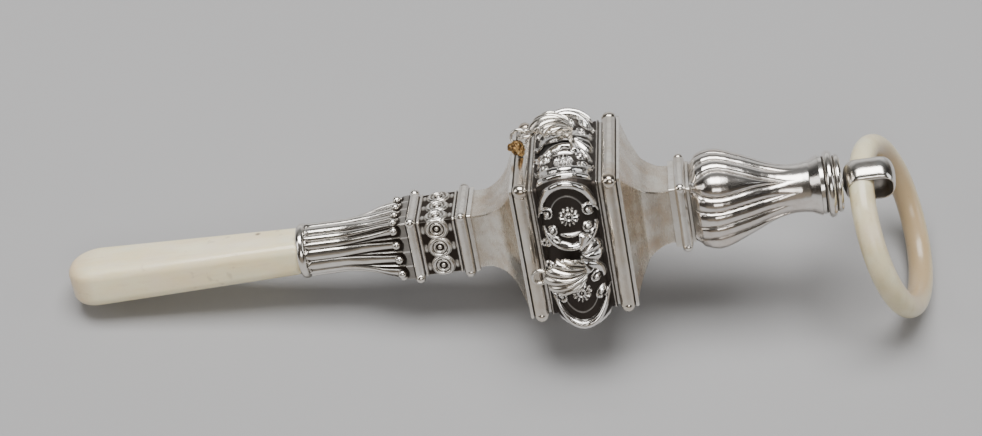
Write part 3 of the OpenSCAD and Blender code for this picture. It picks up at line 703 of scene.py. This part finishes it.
def leaf(name, face_turn, broad, rim, worn):
    place = body_place @ Matrix.Rotation(math.radians(face_turn), 4, "X")
    s = np.linspace(-2.6, 9.2, 92)[:, None]
    v = np.linspace(-1, 1, 73)[None, :]
    wide = np.interp(s, [-2.6, 0, 2, 4.5, 6.5, 8.2, 9.2], [1.3, 2.2, 3.1, 3.9, 3.9, 2.9, 1.5]) * broad
    fan = np.arctan2(v * wide, s + 1.2)
    lobes = np.abs(np.cos((14 if broad > 0.8 else 10) * fan)) ** 0.6 * step(-1.8, 0.8, s)
    y = v * wide * (1 - 0.24 * (1 - lobes) * np.abs(v) ** 3 * step(1.0, 3.0, s))
    edge = np.sqrt(np.clip(1 - v ** 6, 0, 1))
    rolled = rim * round_bar((1 - np.abs(v)) - 0.14, 0.16, 1.0) * step(8.8, 6.5, s)
    up = -0.3 + (0.85 * lobes) * edge + rolled
    dark = np.clip(1.15 - lobes * 1.9, 0, 1) * step(-0.5, 1.5, s) * (np.abs(v) < 0.93)
    over = on_arch(s, y, up)
    under = on_arch(s, y[:, ::-1], -0.32 - 0.1 * edge[:, ::-1])
    rings = np.concatenate([over, under], 1)
    # the top is dark between the lobes; the whole underside is painted darker, as painted shade under the
    # leaf
    marks = np.concatenate([dark, np.full_like(dark, 0.45)], 1)
    piece = skin(name, rings, False, marks, place, crease=60)
    eye = []
    bpy.ops.object.select_all(action="DESELECT")
    bpy.ops.mesh.primitive_torus_add(major_radius=1.35, minor_radius=0.35, major_segments=56,
                                     minor_segments=18, location=(-6.4, 0, 17.8))
    loop = bpy.context.active_object
    if not worn:
        for vert in loop.data.vertices:
            vert.co.z *= 1.4
    eye.append(smooth(outward(settle(loop, place)), 180))
    spots = []
    for side in (-1, 1):
        for along, r in ((1.2, 0.42), (2.4, 0.5), (3.7, 0.58), (5.1, 0.5), (6.3, 0.42)):
            w = float(np.interp(along, [0, 2, 4.5, 6.5, 8.2], [2.1, 2.9, 3.6, 3.4, 2.3])) * broad - 0.45
            x, y, z = on_arch(along, np.array(side * w), -0.62)
            spots.append((float(x), float(y), float(z), r))
    eye.append(add_balls(name + "_balls", spots, place))
    return join_to(piece, *eye)


for word, face_turn, broad, rim, worn in (("top", 0, 1.0, 0.45, True), ("front", 96.5, 1.02, 0.12, False),
                                          ("bottom", 180, 1.02, 0.12, False), ("back", -90, 0.56, 0.2, True)):
    lug = leaf("palmette_lug_" + word, face_turn, broad, rim, worn)
    stand_for(lug, lug_silver, "silver", "handle", "lug_" + word)

# ---------- jump rings, the broken crown and the last bell ----------
# Jump rings are bent from round silver wire. The top one holds only the crushed crown of a lost
# gilt bell; the back one still holds a small round bell, two shells and a loose pea.
wire_silver = silver_finish("wire_silver", rough=0.16, tarnish=0.4)


def dress(node, finish):
    """Gives a part kept from the frame its worked finish."""
    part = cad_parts[node]
    if not part.material_slots:
        part.data.materials.append(finish)
    for slot in part.material_slots:
        slot.material = finish


for node in ("jump_ring_top", "jump_ring_back", "bell_upper_shell", "bell_lower_shell", "bell_pea",
             "swivel_pin"):
    dress(node, wire_silver)

gilt, n = new_finish("worn_gilt")
own = axis_map(n)
lumps = n.noise(own, 1500.0, 4.0, 0.6)
colour = n.ramp(lumps, [(0.38, (0.06, 0.03, 0.012)), (0.52, (0.38, 0.23, 0.09)), (0.64, (0.66, 0.46, 0.22)),
                        (0.78, (0.80, 0.72, 0.56))])
bump = n.add("ShaderNodeBump", Height=lumps, Strength=0.6, Distance=0.0002)
shader = n.add("ShaderNodeBsdfPrincipled", Base_Color=colour, Metallic=0.9, Normal=bump.outputs[0],
               Roughness=n.sum("MULTIPLY_ADD", lumps, 0.5, 0.15))
n.add("ShaderNodeOutputMaterial", Surface=shader.outputs[0])

crown_place = body_place @ Matrix.Translation(Vector((-7.75, 0, 17.3)) * MM)
crown_turn = Matrix.Rotation(math.radians(20), 4, "Y")
scraps = []
for x, y, z, r in ((0, 0, -2.1, 1.3), (0.7, -0.45, -2.5, 0.85), (-0.8, 0.35, -2.4, 0.8),
                   (0.1, 0.7, -2.8, 0.65)):
    bpy.ops.object.select_all(action="DESELECT")
    bpy.ops.mesh.primitive_ico_sphere_add(subdivisions=4, radius=r, location=crown_turn @ Vector((x, y, z)))
    scraps.append(settle(bpy.context.active_object, crown_place))
crown = join_to(scraps[0], *scraps[1:])
crown.name = "crushed_crown"
pick(crown)
remesh = crown.modifiers.new("one_lump", "REMESH")
remesh.mode = "VOXEL"
remesh.voxel_size = 0.00007
bpy.ops.object.modifier_apply(modifier=remesh.name)
for vert in crown.data.vertices:
    vert.co += vert.normal * (noise.noise(vert.co * 1900) * 0.00034 + noise.noise(vert.co * 4800) * 0.00012)
# the lump keeps clear of the wire it is threaded on
LOOP_R, WIRE_GAP = 1.5, 0.5
for vert in crown.data.vertices:
    at = crown_place.inverted() @ vert.co / MM
    across = max(math.hypot(at.x, at.z), 0.01)
    wire = Vector((at.x, 0, at.z)) * (LOOP_R / across)
    gap = at - wire
    if gap.length < WIRE_GAP:
        vert.co = crown_place @ ((wire + gap.normalized() * WIRE_GAP) * MM)
smooth(crown, 50)
stand_for(crown, gilt, "gilt_metal", "remnant", "bell_remnant")

pitch, n = new_finish("dark_pitch")
grain = n.noise(axis_map(n), 900.0, 3.0)
bump = n.add("ShaderNodeBump", Height=grain, Strength=0.4, Distance=0.0001)
shader = n.add("ShaderNodeBsdfPrincipled", Roughness=0.55, Normal=bump.outputs[0],
               Base_Color=n.ramp(grain, [(0.3, (0.05, 0.03, 0.018)), (0.7, (0.13, 0.075, 0.04))]))
n.add("ShaderNodeOutputMaterial", Surface=shader.outputs[0])
dress("pitch_bed", pitch)

# ---------- handle ----------
# A square moulding, then a stamped baluster: it starts square, swells into lobes with a big
# almond over each corner, and dies into a plain round neck closed by a bead and a cap.
handle_silver = silver_finish("handle_silver", light=(0.86, 0.83, 0.79), dull=(0.72, 0.63, 0.55),
                              rough=0.14, brush=(0.3, 1, 1), tarnish=0.6)
moulding = half_round("handle_square_bead", 19.8, 6.72, 2.1, 4.5,
                      extra=((20.9, 5.6), (21.45, 5.6), (21.5, 5.55)))
step_x = np.array([17.75, 17.8, 18.9, 18.95, 18.95, 17.75])
rings, _ = square_rings(step_x, [5.85, 5.95, 5.95, 5.85, 4.5, 4.5], 0.2, 240)
collar = skin("neck_step", rings, True, crease=50)
join_to(moulding, collar, add_balls("handle_corner_beads", [(19.8, y * 6.0, z * 6.0, 0.95) for y in (-1, 1)
                                                            for z in (-1, 1)]))
stand_for(moulding, moulding_silver, "silver", "handle", "handle_base_moulding")

profile = [(21.5, 7.3), (22.1, 7.9), (22.8, 8.45), (24.1, 8.97), (25.6, 9.17), (27, 8.97), (28.5, 8.5),
           (29.9, 7.92), (31.4, 7.33), (32.8, 6.7), (34.3, 5.98), (35.7, 5.4), (37.2, 4.92), (38.6, 4.6),
           (40, 4.49), (41.5, 4.54), (42.9, 4.78), (43.9, 5.25), (44.7, 5.6)]
xs = np.linspace(21.5, 44.7, 128)[:, None]
radius = np.interp(xs, [p[0] for p in profile], [p[1] for p in profile])
turn = (np.arange(480) * (2 * math.pi / 480))[None, :]
quarter = (np.degrees(turn) + 45) % 90
from_corner = np.minimum(quarter, 90 - quarter)
flat = 5.75 / np.maximum(np.abs(np.cos(turn)), np.abs(np.sin(turn)))
begin = step(21.2, 22.9, xs)
lobe_half = np.interp(xs, [21.6, 22.3, 23.5, 25.0, 26.8, 28.6, 30.4, 32.2, 34.2, 36.6, 39.0],
                      [0, 6.5, 12.5, 16.4, 17.6, 16.4, 13.6, 10.2, 6.6, 3.0, 0])
inside = from_corner < lobe_half
narrow = (90 - 2 * lobe_half) / 3
v_corner = from_corner / np.maximum(lobe_half, 0.1)
cell = (quarter - lobe_half) / narrow
v_side = np.abs((cell - np.floor(cell)) * 2 - 1)
v = np.where(inside, v_corner, v_side)
depth = 0.8 * step(21.4, 23.0, xs) * step(39.5, 34.0, xs) + 0.12 * step(21.5, 22.5, xs) * step(41, 38, xs)
bulge = np.sqrt(np.clip(1 - v ** 2, 0, 1))
proud = np.where(inside, 0.30 * np.sqrt(np.clip(1 - v_corner ** 2, 0, 1)) * np.clip(lobe_half / 17, 0, 1),
                 0.0)
r = radius * begin + np.minimum(flat, radius) * (1 - begin) + proud * step(22, 25, xs) - depth * (1 - bulge)
marks = np.clip((1 - bulge) * 1.15 - 0.25, 0, 1) * np.clip(depth / 0.5, 0, 1)
rings = np.stack(np.broadcast_arrays(xs, r * np.cos(turn), r * np.sin(turn)), -1)
inner = np.stack(np.broadcast_arrays(np.array([[44.7], [38.0], [34.0], [26.0], [21.5]]),
                                     np.array([[4.4], [3.4], [4.4], [7.0], [4.9]]) * np.cos(turn),
                                     np.array([[4.4], [3.4], [4.4], [7.0], [4.9]]) * np.sin(turn)), -1)
marks = np.concatenate([marks, np.zeros((5, 480))])
baluster = skin("lobed_baluster", np.concatenate([rings, inner]), True, marks, crease=70)
stand_for(baluster, handle_silver, "silver", "handle", "baluster_handle")


def turned(name, points, inner, around=120):
    """A turned shell from (along, radius) points, closed over its bore."""
    turn = np.arange(around) * (2 * math.pi / around)
    rings = [np.stack([np.full(around, x), r * np.cos(turn), r * np.sin(turn)], 1)
             for x, r in list(points) + [(points[-1][0], inner), (points[0][0], inner)]]
    return skin(name, rings, True, crease=40)


arc = [(46.5 + 0.82 * math.cos(t), 5.33 + 0.82 * math.sin(t)) for t in np.linspace(math.pi, 0, 18)]
bead = turned("end_bead", [(44.7, 5.2), (44.75, 5.3), (45.4, 5.3), (45.5, 5.05), *arc[1:-1], (47.35, 5.2),
                           (47.4, 5.1)], 3.0)
stand_for(bead, bead_silver, "silver", "handle", "end_collar")
cap = turned("end_cap_plate", [(47.4, 4.9), (47.5, 5.05), (47.8, 5.3), (48.2, 5.3), (48.5, 5.05), (48.6, 4.7),
                               (48.45, 4.0), (48.4, 2.2), (48.55, 1.6), (48.6, 1.2)], 0.95)
stand_for(cap, bead_silver, "silver", "handle", "end_cap")

# ---------- bail ----------
# A strap of domed silver bent into a box and soldered, free to turn on the pin through the
# end cap. It is bright outside, and its inside faces are painted dark as painted shade inside the loop.
bail_silver = silver_finish("bail_silver", light=(0.88, 0.86, 0.82), rough=0.13, tarnish=0.6, crevice=0.002)


def rounded_box(x0, x1, z1, r, steps=10):
    path = []
    for cx, cz, start in ((x1 - r, z1 - r, 90), (x1 - r, -z1 + r, 0), (x0 + r, -z1 + r, -90),
                          (x0 + r, z1 - r, -180)):
        for k in range(steps):
            a = math.radians(start - 90 * k / (steps - 1))
            path.append((cx + r * math.cos(a), cz + r * math.sin(a)))
    return path


section = []
for y in np.linspace(-2.5, 2.5, 15):
    section.append((float(y), 4.2 - math.sqrt(17.64 - float(y) ** 2) + (0.12 if abs(y) > 2.4 else 0)))
inner_edge = [(y, d + 0.6 - (0.2 if abs(y) > 2.4 else 0)) for y, d in reversed(section)]
rings = []
for y, inset in section + inner_edge:
    inside_strap = inset
    ring = [(x, y, z) for x, z in rounded_box(48.9 + inside_strap * 0.55, 58.3 - inside_strap * 0.55,
                                               3.9 - inside_strap, max(3.2 - inside_strap, 1.6))]
    rings.append(ring)
marks = np.zeros((len(rings), len(rings[0])))
# the inside faces of the loop get painted shade
marks[len(section):] = 0.8
bail = skin("domed_bail", rings, True, marks, swivel_place, crease=50)
stand_for(bail, bail_silver, "silver", "swivel", "bail")

# ---------- pearl ring ----------
# A teething ring turned from one piece of mother-of-pearl, worn smooth. It hangs free in the
# bail and rests with its foot on the table.
RING_R, RING_TUBE = 15.2, 2.3
RING_YAW, RING_LEAN = math.radians(-7.0), math.radians(-19.05)
ring_pearl, n, shader, own = pearl_finish("ring_pearl", light=(0.82, 0.74, 0.50), deep=(0.72, 0.62, 0.37),
                                          edge=(0.50, 0.36, 0.19), stretch=(1.0, 1.0, 0.6))
bpy.ops.object.select_all(action="DESELECT")
bpy.ops.mesh.primitive_torus_add(major_radius=RING_R, minor_radius=RING_TUBE, major_segments=192,
                                 minor_segments=48, location=(0, 0, -RING_R), rotation=(0, math.pi / 2, 0))
ring = bpy.context.active_object
ring.name = "teething_ring"
ring_place = (swivel_place @ Matrix.Translation(Vector((52.2, 0, 0.8)) * MM)
              @ Matrix.Rotation(RING_YAW, 4, "Z") @ Matrix.Rotation(RING_LEAN, 4, "Y"))
# the side that faces the ring's middle is browner
inner = [max(0.0, min(1.0, 0.5 + (15.0 - math.hypot(v.co.x, v.co.y)) / 2.6)) for v in ring.data.vertices]
ring.data.attributes.new("hollow", "FLOAT", "POINT").data.foreach_set("value", inner)
facing_in = n.add("ShaderNodeAttribute", {"attribute_name": "hollow"}).outputs["Fac"]
base = shader.inputs["Base Color"].links[0].from_socket
n.put(shader.inputs["Base Color"], n.blend(facing_in, base, (0.50, 0.37, 0.21)))
smooth(outward(settle(ring, ring_place)), 180)
for vert in ring.data.vertices:
    vert.co += vert.normal * (noise.noise(vert.co * 120) * 0.00005 - 0.00003)
stand_for(ring, ring_pearl, "mother_of_pearl", "ring", "pearl_ring")
